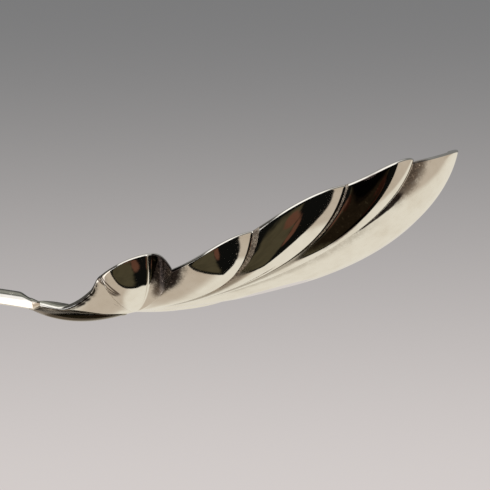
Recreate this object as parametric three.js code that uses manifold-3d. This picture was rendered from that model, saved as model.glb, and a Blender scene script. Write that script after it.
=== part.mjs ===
// Silver teaspoon with a shell bowl, in millimetres: +X runs from handle to bowl, +Z is up
import * as THREE from 'three';
import { mergeVertices } from 'three/addons/utils/BufferGeometryUtils.js';
import Module from 'manifold-3d';

const wasm = await Module();
wasm.setup();

// Overall sizes
const SPOON_LENGTH = 140; // handle's end to bowl's tip
const SHEET = 0.6; // thickness of the bowl's sheet
const WEAR = 0.16; // depth of the flats worn where the spoon rests

// Neck: the tang that runs from the heel point back to the joint with the handle
const JOINT_ALONG = 10.55; // from the heel point back to the joint
const JOINT_HALF_WIDTH = 1.9;
const JOINT_UP = 3.2; // underside of the joint above the heel point
const JOINT_THICKNESS = 0.65; // of the tang where it is soldered
const NECK_SHARE = 0.75; // share of the tang before it starts to thicken toward the joint
const NECK_FOOT = 0.1; // share of the tang that stays level at the heel point
const SEAM = 0.8; // length of the solder seam across the joint

// Bowl, measured from the heel point at the foot of its keel
const BOWL_ALONG = 41.27; // from the heel point forward to the tip
const BOWL_HALF_WIDTH = 12.02; // at the crease after the second lobe
const BOWL_UP = 8.95; // tip above the heel point
const LOBE_SWELL = 2.087; // how far the fullest lobe stands out between its creases

// Rim where each crease ends, as shares of the neck's or the bowl's own sizes
const neckRim = (x, y, z) => new THREE.Vector3(-x * JOINT_ALONG, y * JOINT_HALF_WIDTH, z * JOINT_UP);
const bowlRim = (x, y, z) => new THREE.Vector3(x * BOWL_ALONG, y * BOWL_HALF_WIDTH, z * BOWL_UP);
const RIM = [
  neckRim(1, 1, 1), // joint corner
  neckRim(NECK_SHARE, 1.21, 0.625), // neck
  neckRim(0.442, 1.95, 0.91), // throat
  bowlRim(-0.0775, 0.449, 0.503), // corner of the ear
  bowlRim(0.112, 0.793, 0.28), // notch between the ear and the first lobe
  bowlRim(0.354, 0.933, 0.504), // crease after the first lobe
  bowlRim(0.6326, 1, 0.763), // crease after the second lobe
  bowlRim(0.836, 0.8735, 0.844), // crease after the third lobe
  bowlRim(1, 0, 1), // crease at the tip
];
const EAR = 3; // the ear lies between this rim point and the next
const EAR_RIDGE = 0.756; // share of that stretch that the ear itself takes, before the hollow of the notch
const NOTCH_HOLLOW = 0.342; // depth of that hollow, as a share of the fullest swell
// Lobes from the ear to the tip: swell and rim lift as shares of the fullest swell.
// A lean over 1 moves the crown of the swell or the lift toward the tip.
const LOBES = [
  { swell: 1, swellLean: 0.856, lift: 1.127, liftLean: 1.8 },
  { swell: 0.689, swellLean: 0.931, lift: 0.408, liftLean: 1 },
  { swell: 0.431, swellLean: 0.992, lift: 0.309, liftLean: 1.147 },
  { swell: 0.705, swellLean: 1.946, lift: 0.43, liftLean: 2.287 },
  { swell: 0.695, swellLean: 1, lift: 0.168, liftLean: 1 },
];
const LAPPED = 6; // the lobe after this rim point laps over the one at the tip
const LAP = 0.21; // how far its edge stands proud, as a share of the fullest swell
const LAP_POWER = 3; // how late in that lobe the edge starts to rise
const LAP_DROP = 0.03; // share of that lobe in which the edge drops to the crease
const KEEL_SLOPE = -0.168; // slope of the keel at the heel point
const BOWL_TURN = THREE.MathUtils.degToRad(75.1); // how far a rib of the bowl turns upward
const NECK_TURN = THREE.MathUtils.degToRad(30); // how far a rib of the neck turns upward
// Fullness of the rib at each crease from the ear to the tip: over 1 keeps the floor flat for longer
const FULLNESS = [1.035, 0.904, 1.472, 1.077, 0.933, 1.172];
const FLUTE_FADE = 2.145; // how quickly the lobes sink into the floor toward the heel

// Handle: widths, thicknesses and the rise of its arch
const STEM_HALF_WIDTH = 1.75;
const STEM_THICKNESS = 1.9;
const STEM_START = 1.33; // thickness of the stem where it is soldered
const SHOULDER = 1.1; // length over which it reaches its full thickness
const BLADE_HALF_WIDTH = 5.8;
const BLADE_THICKNESS = 1.4;
const BLADE_START = 0.22; // share of the handle before it starts to widen
const END_ROUND = 9; // length of the rounded end
const STEM_SLOPE = THREE.MathUtils.degToRad(25);
const STEM_LEAD = 40; // how far the stem's slope is carried along the arch
const END_LEAD = 38; // how far the end's slope is carried along the arch
const END_CURL = 2.3; // dip of that lead, so that the end lifts a little off the table
const SQUARE_POWER = 3.2; // section of the blade and of the stem's face: 2 is an oval, more is squarer
const STEM_POWER = 2; // the same for the stem's round back
const STEM_WAIST = 0.68; // height of the stem's widest line, as a share of its thickness
const BLADE_WAIST = 0.5; // the same for the blade

// Heel drop under the joint and the solder film that holds it
const DROP_BACK = 0.4; // how far the drop reaches under the handle
const DROP_FRONT = 1.05; // distance from the heel point to the drop's front tip
const DROP_HALF_WIDTH = 1.05;
const DROP_POWER = 3; // section of its belly: 2 is round, more has steeper sides
const DROP_BELLY = 0.386; // where the belly lies, as a share of the drop's length
const DROP_SAG = 2.42; // pull of the belly below a straight line between the two ends
const DROP_CREST = 0.35; // stock above that line, before the neck is fitted into it
const FILM = 0.12; // thickness of the solder film
const FIT_GAP = 0.05; // clearance on each side of the film

// Fineness of the shapes
const RIB_STEPS = 14;
const STRETCH_STEPS = [2, 3, 3, 13, 8, 8, 8, 8]; // along the rim between one point and the next
const JOINT_STEPS = 4;
const HANDLE_STEPS = 44;
const CURVE_STEPS = 200;
const SECTION_STEPS = 24;
const DROP_STEPS = 18;
const DROP_ARC_STEPS = 8;
const PROBE = 0.001; // step for measuring slopes

const TIP = RIM.length - 1;
const clamp = THREE.MathUtils.clamp;
const lerp = THREE.MathUtils.lerp;
const smoothstep = THREE.MathUtils.smoothstep;

// Rim curve from the joint corner on one side, round the tip, to the joint corner on the other side
const rimSide = (sign) => RIM.map((point) => new THREE.Vector3(point.x, sign * point.y, point.z));
const rimPoints = [...rimSide(-1), ...rimSide(1).reverse().slice(1)];
const rimCurve = new THREE.CatmullRomCurve3(rimPoints, false, 'centripetal');
const RIM_END = rimPoints.length - 1;

// A place on the rim is a number: whole numbers are rim points, and past the last one it crosses the joint
function rimAt(place) {
  if (place <= RIM_END) {
    return rimCurve.getPoint(place / RIM_END);
  }
  return rimPoints[RIM_END].clone().lerp(rimPoints[0], place - RIM_END);
}

// The same place counted from the nearer joint corner
function fold(place) {
  return clamp(Math.min(place, RIM_END - place), 0, TIP);
}

// 1 along the tang of the neck, 0 from the ear onward
function neckShare(place) {
  return 1 - smoothstep(fold(place), 1, EAR);
}

// An arch from 0 up to 1 and back to 0, whose crown leans forward as the lean grows past 1
function arch(share, lean) {
  const leaning = clamp(share, 0, 1) ** lean;
  return 4 * leaning * (1 - leaning);
}

// The lapped lobe's edge: it rises to its crest near the crease and drops there
function lapAt(across) {
  const crest = 1 - LAP_DROP;
  return across < crest ? (across / crest) ** LAP_POWER : (1 - across) / LAP_DROP;
}

// How far the lobe at this place swells outward and lifts its rim
function lobeAt(place) {
  const stretch = Math.min(Math.floor(fold(place)), TIP - 1);
  const lobe = LOBES[stretch - EAR];
  if (!lobe) {
    return { swell: 0, lift: 0 };
  }
  const across = fold(place) - stretch;
  const ridge = stretch === EAR ? EAR_RIDGE : 1;
  const hollow = ridge < 1 ? NOTCH_HOLLOW * arch((across - ridge) / (1 - ridge), 1) : 0;
  const crown = lobe.swell * arch(across / ridge, lobe.swellLean);
  const rise = lobe.lift * arch(across, lobe.liftLean);
  const lap = stretch === LAPPED ? LAP * lapAt(across) : 0;
  return { swell: LOBE_SWELL * (crown - hollow + lap), lift: LOBE_SWELL * (rise + lap) };
}

// Fullness of the rib at this place, passing smoothly from one crease's to the next
function fullnessAt(place) {
  const beyond = Math.max(fold(place) - EAR, 0);
  const crease = Math.min(Math.floor(beyond), TIP - EAR - 1);
  const bowlFullness = lerp(FULLNESS[crease], FULLNESS[crease + 1], smoothstep(beyond - crease, 0, 1));
  return lerp(bowlFullness, 1, neckShare(place));
}

// A rib runs from the heel point (way 0) to the rim (way 1). In the bowl it turns upward as an arc.
// In the neck it starts level, is steepest midway and ends nearly level.
const NECK_CLIMB = smoothstep(1, NECK_FOOT, 1 + NECK_FOOT);
function ribPoint(place, way, lift) {
  const rim = rimAt(place);
  const turn = lerp(BOWL_TURN, NECK_TURN, neckShare(place));
  const out = Math.sin(way * turn) / Math.sin(turn);
  const up = ((1 - Math.cos(way * turn)) / (1 - Math.cos(turn))) ** fullnessAt(place);
  const bowlUp = KEEL_SLOPE * rim.x * (out - up) + (rim.z + lift) * up;
  const neckUp = (rim.z * smoothstep(out, NECK_FOOT, 1 + NECK_FOOT)) / NECK_CLIMB;
  const point = new THREE.Vector3(rim.x * out, rim.y * out, lerp(bowlUp, neckUp, neckShare(place)));
  return { point, out };
}

// Direction into the bowl, square to the smooth surface that the lobes swell from
function inward(place, way) {
  if (place > RIM_END) {
    return new THREE.Vector3(0, 0, 1);
  }
  const back = Math.max(place - PROBE, 0);
  const ahead = Math.min(place + PROBE, RIM_END);
  const along = ribPoint(ahead, way, 0).point.sub(ribPoint(back, way, 0).point);
  const outward = ribPoint(place, way + PROBE, 0).point.sub(ribPoint(place, way - PROBE, 0).point);
  const normal = outward.cross(along).normalize();
  return normal.lerp(new THREE.Vector3(0, 0, 1), neckShare(place)).normalize();
}

// Outer and inner skin of the sheet at one place on one rib
function sheetAt(place, way) {
  const lobe = lobeAt(place);
  const { point, out } = ribPoint(place, way, lobe.lift);
  const into = inward(place, way);
  const outer = point.addScaledVector(into, -lobe.swell * out ** FLUTE_FADE);
  const tang = clamp((-outer.x / JOINT_ALONG - NECK_SHARE) / (1 - NECK_SHARE), 0, 1);
  const thickness = lerp(SHEET, JOINT_THICKNESS, tang);
  return { outer, inner: outer.clone().addScaledVector(into, thickness) };
}

// Places on the rim that the ribs run to
const places = [];
const stretches = [...STRETCH_STEPS, ...STRETCH_STEPS.slice().reverse(), JOINT_STEPS];
stretches.forEach((steps, stretch) => {
  for (let step = 0; step < steps; step += 1) {
    places.push(stretch + step / steps);
  }
});
const crestPlace = LAPPED + 1 - LAP_DROP;
places.push(crestPlace, RIM_END - crestPlace);
places.sort((first, second) => first - second);
const ribs = places.map((place) => {
  const rib = [];
  for (let step = 1; step <= RIB_STEPS; step += 1) {
    rib.push(sheetAt(place, step / RIB_STEPS));
  }
  return rib;
});

// The table stands just above the lowest point, so that a flat is worn there
const skins = ribs.flat();
const tableUp = Math.min(...skins.map((skin) => skin.outer.z)) + WEAR;
const tipAlong = Math.max(...skins.map((skin) => skin.outer.x));
const middleAlong = tipAlong - SPOON_LENGTH / 2;

// Moves a point to the spoon's own frame, worn level where it would pass below the table
function place3(point) {
  return [point.x - middleAlong, point.y, Math.max(point.z - tableUp, 0)];
}

// One closed body from points and triangles
function body(points, triangles) {
  const geometry = new THREE.BufferGeometry();
  geometry.setAttribute('position', new THREE.Float32BufferAttribute(points.flat(), 3));
  geometry.setIndex(triangles.flat());
  return mergeVertices(geometry, 1e-5);
}

// Triangles between two rings of corners that both run counter-clockwise seen from the second ring
function band(first, second, count) {
  const triangles = [];
  for (let i = 0; i < count; i += 1) {
    const next = (i + 1) % count;
    triangles.push([first + i, first + next, second + next], [first + i, second + next, second + i]);
  }
  return triangles;
}

// Triangles from one corner to a ring
function fan(tip, ring, count, flip) {
  const triangles = [];
  for (let i = 0; i < count; i += 1) {
    const next = (i + 1) % count;
    triangles.push(flip ? [tip, ring + next, ring + i] : [tip, ring + i, ring + next]);
  }
  return triangles;
}

// Bowl: the outer skin from the heel to the rim, over the edge and back down the inner skin
function bowlBody() {
  const count = ribs.length;
  const into = new THREE.Vector3(-KEEL_SLOPE, 0, 1).normalize();
  const points = [place3(new THREE.Vector3())];
  const triangles = [];
  const rings = [];
  for (let step = 0; step < RIB_STEPS; step += 1) {
    rings.push(points.length);
    ribs.forEach((rib) => points.push(place3(rib[step].outer)));
  }
  for (let step = RIB_STEPS - 1; step >= 0; step -= 1) {
    rings.push(points.length);
    ribs.forEach((rib) => points.push(place3(rib[step].inner)));
  }
  const last = points.length;
  points.push(place3(into.multiplyScalar(SHEET)));
  triangles.push(...fan(0, rings[0], count, true));
  rings.slice(1).forEach((ring, i) => triangles.push(...band(rings[i], ring, count)));
  triangles.push(...fan(last, rings[rings.length - 1], count, false));
  return body(points, triangles);
}

// Everything above the bowl's outer skin, for fitting the drop under the neck
function aboveBowl() {
  const count = ribs.length;
  const points = [place3(new THREE.Vector3())];
  const rings = [];
  for (let step = 0; step < RIB_STEPS; step += 1) {
    rings.push(points.length);
    ribs.forEach((rib) => points.push(place3(rib[step].outer)));
  }
  const wall = new THREE.Vector3(0, 0, 2 * JOINT_THICKNESS);
  rings.push(points.length);
  ribs.forEach((rib) => points.push(place3(rib[RIB_STEPS - 1].outer.clone().add(wall))));
  const lid = points.length;
  points.push(place3(new THREE.Vector3(0, 0, SPOON_LENGTH / 4)));
  const triangles = fan(0, rings[0], count, true);
  rings.slice(1).forEach((ring, i) => triangles.push(...band(rings[i], ring, count)));
  triangles.push(...fan(lid, rings[rings.length - 1], count, false));
  return body(points, triangles);
}

// A section standing across the spoon, its underside at the given height, from stem (0) to blade (1)
function section(along, under, halfWidth, thickness, bladeShare) {
  const waist = lerp(STEM_WAIST, BLADE_WAIST, bladeShare);
  const backPower = lerp(STEM_POWER, SQUARE_POWER, bladeShare);
  const ring = [];
  for (let i = 0; i < SECTION_STEPS; i += 1) {
    const angle = (2 * Math.PI * i) / SECTION_STEPS;
    const c = Math.cos(angle);
    const s = Math.sin(angle);
    const power = s < 0 ? backPower : SQUARE_POWER;
    const reach = s < 0 ? waist : 1 - waist;
    const y = halfWidth * Math.sign(c) * Math.abs(c) ** (2 / power);
    const z = reach * Math.sign(s) * Math.abs(s) ** (2 / power);
    ring.push(place3(new THREE.Vector3(along, y, under + thickness * (waist + z))));
  }
  return ring;
}

// A body through sections that follow each other from the tip toward the handle's end
function loft(sections) {
  const points = sections.flat();
  const count = sections[0].length;
  const triangles = [];
  for (let i = 0; i + 1 < sections.length; i += 1) {
    triangles.push(...band((i + 1) * count, i * count, count));
  }
  const lastRing = (sections.length - 1) * count;
  for (let i = 1; i + 1 < count; i += 1) {
    triangles.push([0, i, i + 1], [lastRing, lastRing + i + 1, lastRing + i]);
  }
  return body(points, triangles);
}

// Underside of the handle: it leaves the joint at the stem's slope, arches, comes down and lifts at the end
const handleStart = new THREE.Vector2(-JOINT_ALONG - SEAM, JOINT_UP);
const stemLead = new THREE.Vector2(-Math.cos(STEM_SLOPE), Math.sin(STEM_SLOPE)).multiplyScalar(STEM_LEAD);
function handleCurveTo(endUp) {
  const end = new THREE.Vector2(tipAlong - SPOON_LENGTH, endUp);
  const endLead = new THREE.Vector2(END_LEAD, -END_CURL);
  const rise = handleStart.clone().add(stemLead);
  return new THREE.CubicBezierCurve(handleStart, rise, end.clone().add(endLead), end);
}
const lowestOf = (curve) => Math.min(...curve.getPoints(CURVE_STEPS).map((point) => point.y));
const restUp = tableUp - WEAR / 2;
const handleCurve = handleCurveTo(tableUp + restUp - lowestOf(handleCurveTo(tableUp)));
const handleEnd = handleCurve.v3;

// Handle: a stem with a shoulder at the joint, widening to a rounded blade
function handleBody() {
  const sections = [];
  const run = handleStart.x - handleEnd.x;
  for (let i = 0; i <= HANDLE_STEPS; i += 1) {
    const share = (1 - Math.cos((Math.PI * i) / HANDLE_STEPS)) / 2;
    const under = handleCurve.getPoint(share);
    const gone = handleStart.x - under.x;
    const left = run - gone;
    const stem = lerp(JOINT_HALF_WIDTH, STEM_HALF_WIDTH, smoothstep(gone, 0, BLADE_START * run));
    const blade = lerp(stem, BLADE_HALF_WIDTH, smoothstep(gone, BLADE_START * run, run - END_ROUND / 2));
    const rounded = clamp(1 - left / END_ROUND, 0, 1);
    const halfWidth = blade * Math.sqrt(Math.max(1 - rounded * rounded, WEAR * WEAR));
    const full = lerp(STEM_THICKNESS, BLADE_THICKNESS, gone / run);
    const thickness = lerp(STEM_START, full, smoothstep(gone, 0, SHOULDER));
    const bladeShare = smoothstep(gone, BLADE_START * run, run - END_ROUND);
    sections.push(section(under.x, under.y, halfWidth, thickness, bladeShare));
  }
  return loft(sections);
}

// Solder seam that fills the joint between the tang and the handle, or runs a little way into both
function seamBody(overlap) {
  const front = section(-JOINT_ALONG + overlap, JOINT_UP, JOINT_HALF_WIDTH, JOINT_THICKNESS, 0);
  const back = section(-JOINT_ALONG - SEAM - overlap, JOINT_UP, JOINT_HALF_WIDTH, STEM_START, 0);
  return loft([front, back]);
}

// Heel drop before fitting: an oval tongue with steep sides
function dropStock() {
  const back = handleCurve.getPoint(DROP_BACK / (3 * STEM_LEAD * Math.cos(STEM_SLOPE)));
  const front = new THREE.Vector2(-DROP_FRONT, 0);
  const belly = back.clone().lerp(front, DROP_BELLY);
  belly.y -= DROP_SAG;
  const under = new THREE.QuadraticBezierCurve(back, belly, front);
  const sections = [];
  for (let i = 0; i <= DROP_STEPS; i += 1) {
    const share = clamp(i / DROP_STEPS, PROBE, 1 - PROBE);
    const low = under.getPoint(1 - share);
    const length = (low.x - back.x) / (front.x - back.x);
    const line = lerp(back.y, front.y, length);
    const halfWidth = DROP_HALF_WIDTH * Math.sqrt(4 * length * (1 - length));
    const ring = [place3(new THREE.Vector3(low.x, halfWidth, line + DROP_CREST))];
    ring.push(place3(new THREE.Vector3(low.x, -halfWidth, line + DROP_CREST)));
    for (let step = 0; step <= DROP_ARC_STEPS; step += 1) {
      const angle = (Math.PI * step) / DROP_ARC_STEPS;
      const c = Math.cos(angle);
      const y = -halfWidth * Math.sign(c) * Math.abs(c) ** (2 / DROP_POWER);
      const z = line - (line - low.y) * Math.sin(angle) ** (2 / DROP_POWER);
      ring.push(place3(new THREE.Vector3(low.x, y, z)));
    }
    sections.push(ring);
  }
  return loft(sections);
}

// Between the drawn shapes and the bodies that join and cut
function solid(geometry) {
  return new wasm.Manifold(new wasm.Mesh({
    numProp: 3,
    vertProperties: geometry.getAttribute('position').array,
    triVerts: new Uint32Array(geometry.index.array),
  }));
}
function drawn(manifold) {
  const mesh = manifold.getMesh();
  const geometry = new THREE.BufferGeometry();
  geometry.setAttribute('position', new THREE.BufferAttribute(new Float32Array(mesh.vertProperties), 3));
  geometry.setIndex(new THREE.BufferAttribute(new Uint32Array(mesh.triVerts), 1));
  return geometry;
}

const bowl = bowlBody();
const handle = handleBody();
const seam = seamBody(0);
const neck = solid(aboveBowl()).add(solid(seamBody(PROBE))).add(solid(handle));
const stock = solid(dropStock());
const filmTop = neck.translate([0, 0, -FIT_GAP]);
const filmFoot = neck.translate([0, 0, -FIT_GAP - FILM]);
const film = stock.intersect(filmFoot).subtract(filmTop);
const drop = stock.subtract(neck.translate([0, 0, -2 * FIT_GAP - FILM]));

const spoon = new THREE.Group();
spoon.name = 'teaspoon';
function addPart(name, geometry, colour, roughness) {
  geometry.computeVertexNormals();
  const material = new THREE.MeshStandardMaterial({ color: colour, roughness, metalness: 1 });
  const mesh = new THREE.Mesh(geometry, material);
  mesh.name = name;
  spoon.add(mesh);
}
addPart('bowl', bowl, 0xe4ddcf, 0.14);
addPart('handle', handle, 0xe8e4da, 0.16);
addPart('neck_solder', seam, 0xc9b6a8, 0.34);
addPart('heel_drop', drawn(drop), 0xbdb4a6, 0.22);
addPart('heel_solder', drawn(film), 0xb9aa9c, 0.36);

export default spoon;
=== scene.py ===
# %% [markdown]
# # A silver teaspoon with a shell bowl
#
# The spoon is polished silver: a thin bowl fluted like a scallop shell, with an ear at each side of
# its neck, a round stem soldered on behind and a small drop soldered under the joint. The packed
# solids say where every piece is and how big. Here each piece is made again as a finer mesh in the
# same place, because a mirror shows every flat facet, and then it gets a finish and a studio.

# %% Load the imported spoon
import math

import bpy
import numpy as np
from mathutils import Matrix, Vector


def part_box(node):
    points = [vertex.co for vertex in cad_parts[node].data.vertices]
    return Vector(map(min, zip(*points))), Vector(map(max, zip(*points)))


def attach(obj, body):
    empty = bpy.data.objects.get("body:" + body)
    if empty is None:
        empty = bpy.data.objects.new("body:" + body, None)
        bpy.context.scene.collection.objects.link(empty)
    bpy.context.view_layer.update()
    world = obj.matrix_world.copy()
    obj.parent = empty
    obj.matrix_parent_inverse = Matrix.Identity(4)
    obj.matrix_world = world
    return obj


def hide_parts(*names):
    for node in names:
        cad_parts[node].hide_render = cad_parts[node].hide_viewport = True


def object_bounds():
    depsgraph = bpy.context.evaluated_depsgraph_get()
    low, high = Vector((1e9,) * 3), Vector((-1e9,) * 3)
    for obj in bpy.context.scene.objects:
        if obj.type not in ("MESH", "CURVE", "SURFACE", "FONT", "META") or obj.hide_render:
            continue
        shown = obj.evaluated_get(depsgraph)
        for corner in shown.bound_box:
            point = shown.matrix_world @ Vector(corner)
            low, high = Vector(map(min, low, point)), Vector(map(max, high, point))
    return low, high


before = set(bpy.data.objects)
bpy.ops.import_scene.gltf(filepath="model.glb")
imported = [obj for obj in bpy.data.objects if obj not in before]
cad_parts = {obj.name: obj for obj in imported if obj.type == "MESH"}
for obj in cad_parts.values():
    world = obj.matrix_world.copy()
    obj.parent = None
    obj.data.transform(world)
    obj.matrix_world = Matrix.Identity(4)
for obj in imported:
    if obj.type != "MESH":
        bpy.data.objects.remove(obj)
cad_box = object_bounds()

MM = 0.001
cad_size = [round((high - low) / MM, 2) for low, high in zip(*cad_box)]
print("packed pieces:", sorted(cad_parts), "overall size in mm:", cad_size)

# %% [markdown]
# ## Where the bowl starts
#
# All flutes of a shell fan out from one point, the heel, low down where the neck meets the bowl.
# Sizes are in millimetres from that point, which makes them easy to compare with a real spoon. The
# heel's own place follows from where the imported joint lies.

# %% Heel point
JOINT_ALONG = 10.55  # from the heel point back to the joint
JOINT_UP = 3.2  # underside of the joint above the heel point
bowl_low = np.array(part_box("bowl")[0]) / MM
handle_low = np.array(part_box("handle")[0]) / MM
seam_low, seam_high = [np.array(corner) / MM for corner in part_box("neck_solder")]
HEEL = np.array([bowl_low[0] + JOINT_ALONG, 0.0, seam_low[2] - JOINT_UP])


def on_table(points):
    """Points in the spoon's frame, worn level where they meet the table."""
    placed = np.asarray(points, float) + HEEL
    placed[..., 2] = np.maximum(placed[..., 2], 0.0)
    return placed * MM


print("heel point in mm:", np.round(HEEL, 3))

# %% [markdown]
# ## The rim of the bowl
#
# Seen from above, the rim runs from the joint out along the neck, round the ear, and past four
# creases to the tip. One point for each crease is enough: a Catmull-Rom curve passes through all of
# them. The centripetal kind spaces its knots by the square root of the distance, so that short
# stretches at the neck don't make loops. A place on the rim is then a number that counts creases.

# %% Rim curve
BOWL_ALONG = 41.27  # from the heel point forward to the tip
BOWL_HALF_WIDTH = 12.02  # at the crease after the second lobe
BOWL_UP = 8.95  # tip above the heel point
NECK_SHARE = 0.75  # share of the tang before it thickens
JOINT_HALF_WIDTH = seam_high[1]
NECK_SIZE = np.array([-JOINT_ALONG, JOINT_HALF_WIDTH, JOINT_UP])
BOWL_SIZE = np.array([BOWL_ALONG, BOWL_HALF_WIDTH, BOWL_UP])
NEAR_RIM = np.array([
    NECK_SIZE,  # joint corner
    NECK_SIZE * (NECK_SHARE, 1.21, 0.625),  # neck
    NECK_SIZE * (0.442, 1.95, 0.91),  # throat
    BOWL_SIZE * (-0.0775, 0.449, 0.503),  # corner of the ear
    BOWL_SIZE * (0.112, 0.793, 0.28),  # notch behind the ear
    BOWL_SIZE * (0.354, 0.933, 0.504),  # after the first lobe
    BOWL_SIZE * (0.6326, 1.0, 0.763),  # after the second lobe
    BOWL_SIZE * (0.836, 0.8735, 0.844),  # after the third lobe
    BOWL_SIZE * (1.0, 0.0, 1.0),  # tip
])
EAR = 3  # the ear lies between this crease and the next
TIP = len(NEAR_RIM) - 1
RIM = np.vstack([NEAR_RIM * (1, -1, 1), NEAR_RIM[-2::-1]])
RIM_END = len(RIM) - 1


def blend(start, end, share):
    """Value that goes from start at 0 to end at 1."""
    return start + (end - start) * share


def rim_at(place):
    """Point of the rim at a place; past the last one it crosses the joint."""
    step = np.clip(np.floor(place).astype(int), 0, RIM_END - 1)
    part = (np.clip(place, 0, RIM_END) - step)[..., None]
    knots = np.vstack([2 * RIM[0] - RIM[1], RIM, 2 * RIM[-1] - RIM[-2]])
    before, start, end, after = (knots[step + k] for k in range(4))
    gap_a, gap_b, gap_c = (
        np.sqrt(np.linalg.norm(b - a, axis=-1))[..., None]
        for a, b in ((before, start), (start, end), (end, after))
    )
    run = end - start
    leave = run + gap_b * ((start - before) / gap_a - (end - before) / (gap_a + gap_b))
    arrive = run + gap_b * ((after - end) / gap_c - (after - start) / (gap_b + gap_c))
    curve = start + leave * part + (3 * run - 2 * leave - arrive) * part**2
    curve = curve + (leave + arrive - 2 * run) * part**3
    across = np.clip(place - RIM_END, 0, 1)[..., None]
    return np.where(across > 0, blend(RIM[-1], RIM[0], across), curve)


print("rim halfway round the ear in mm:", np.round(rim_at(np.array(EAR + 0.5)), 2))

# %% [markdown]
# ## Lobes between the creases
#
# Between two creases the sheet swells outward like the flutes of a shell. An arch that is 0 at both
# creases gives the swell, and raising its input to a power leans the crown toward the tip. The ear
# has its crown early and a hollow behind it. The third lobe starts with a small step, the bright
# line beside its crease. Its other edge rises late and laps over the lobe at the tip. The lobes
# could be sculpted too, but a formula makes both sides of the bowl alike.

# %% Lobe shapes
LOBE_SWELL = 2.087  # how far the fullest lobe stands out
EAR_RIDGE = 0.756  # share of its stretch that the ear takes, before the notch
NOTCH_HOLLOW = 0.342  # depth of the notch: share of the swell
EAR_FILLET = 0.035  # share in which the ear rises softly from the neck
CREASE_ROUND = 0.035  # radius that softens the bottom of a crease
LAPPED = 6  # the lobe after this crease laps over the one at the tip
STEP, STEP_WIDTH = 0.04, 0.03  # step at its start: shares of the swell and the lobe
LAP = 0.21  # how far its other edge stands proud: share of the swell
LAP_POWER = 3  # how late that edge starts to rise
LAP_DROP = 0.03  # share of the lobe in which it drops to the crease
# Lobes from ear to tip: swell and rim lift, as shares of the fullest swell, each with its lean
LOBES = np.array([
    (1.0, 0.856, 1.127, 1.8),
    (0.689, 0.931, 0.408, 1.0),
    (0.431, 0.992, 0.309, 1.147),
    (0.705, 1.946, 0.43, 2.287),
    (0.695, 1.0, 0.168, 1.0),
])


def ramp(value, low, high):
    """Smooth step from 0 at low to 1 at high."""
    share = np.clip((value - low) / (high - low), 0, 1)
    return share * share * (3 - 2 * share)


def bell(value, middle, reach):
    """1 at the middle, fading away on both sides."""
    return np.exp(-(((value - middle) / reach) ** 2))


def arch(share, lean):
    """Arch from 0 to 1 and back; more lean moves its crown on."""
    leaning = np.clip(share, 0, 1) ** lean
    return 4 * leaning * (1 - leaning)


def fold(place):
    """The same place counted from the nearer end of the rim."""
    return np.clip(np.minimum(place, RIM_END - place), 0, TIP)


def lobe_at(place):
    """Outward swell and rim lift of the sheet at a place, in mm."""
    stretch = np.minimum(np.floor(fold(place)).astype(int), TIP - 1)
    lobe = np.moveaxis(LOBES[np.maximum(stretch - EAR, 0)], -1, 0)
    swell, swell_lean, lift, lift_lean = lobe
    across = fold(place) - stretch
    ear = stretch == EAR
    crown = swell * arch(across / np.where(ear, EAR_RIDGE, 1.0), swell_lean)
    crown = np.sqrt(crown**2 + CREASE_ROUND**2) - CREASE_ROUND
    crown = np.where(ear, crown * (1 - bell(across, 0, EAR_FILLET)), crown)
    hollow = NOTCH_HOLLOW * arch((across - EAR_RIDGE) / (1 - EAR_RIDGE), 1)
    lapped = stretch == LAPPED
    step = np.where(lapped, STEP * ramp(across, 0, STEP_WIDTH) * (1 - across), 0)
    crest = 1 - LAP_DROP
    lap = np.where(across < crest, (across / crest) ** LAP_POWER, (1 - across) / LAP_DROP)
    lap = np.where(lapped, LAP * lap, 0)
    size = np.where(stretch >= EAR, LOBE_SWELL, 0)
    swell = crown - np.where(ear, hollow, 0) + step + lap
    return size * swell, size * (lift * arch(across, lift_lean) + lap)


print("lobes on each side:", len(LOBES))

# %% [markdown]
# ## Ribs from the heel to the rim
#
# Each rib is an arc that leaves the heel along the floor of the bowl and turns upward to the rim.
# Sweeping the arc round the rim gives a smooth shell. The neck is nearly flat, so its ribs turn
# less. The fullness of a rib says how long it keeps to the floor before it rises.

# %% Ribs
KEEL_SLOPE = -0.168  # at the heel point
BOWL_TURN, NECK_TURN = math.radians(75.1), math.radians(30)  # how far ribs turn upward
NECK_FOOT = 0.1  # share of the neck that stays level at the heel point
# Fullness at each crease from the ear's corner to the tip: over 1 has a flatter floor
FULLNESS = np.array([1.035, 0.904, 1.472, 1.077, 0.933, 1.172])


def neck_share(place):
    """1 along the joint and the tang of the neck, 0 from the ear onward."""
    return 1 - ramp(fold(place), 1, EAR)


def fullness_at(place):
    """Fullness of a rib: smooth from crease to crease, 1 along the neck."""
    beyond = np.maximum(fold(place) - EAR, 0)
    crease = np.minimum(np.floor(beyond).astype(int), TIP - EAR - 1)
    share = ramp(beyond - crease, 0, 1)
    bowl_fullness = blend(FULLNESS[crease], FULLNESS[crease + 1], share)
    return blend(bowl_fullness, 1, neck_share(place))


def rib_point(place, way, lift=0.0):
    """Point of the smooth shell at a place and a way from the heel (0) to the rim (1)."""
    rim = rim_at(place)
    neck = neck_share(place)
    turn = blend(BOWL_TURN, NECK_TURN, neck)
    out = np.sin(way * turn) / np.sin(turn)
    up = (np.maximum(1 - np.cos(way * turn), 0) / (1 - np.cos(turn))) ** fullness_at(place)
    keel = KEEL_SLOPE * rim[..., 0]
    bowl_up = keel * (out - up) + (rim[..., 2] + lift) * up
    neck_rise = ramp(out, NECK_FOOT, 1 + NECK_FOOT) / ramp(1, NECK_FOOT, 1 + NECK_FOOT)
    height = blend(bowl_up, rim[..., 2] * neck_rise, neck)
    return np.stack([rim[..., 0] * out, rim[..., 1] * out, height], axis=-1), out


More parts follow.
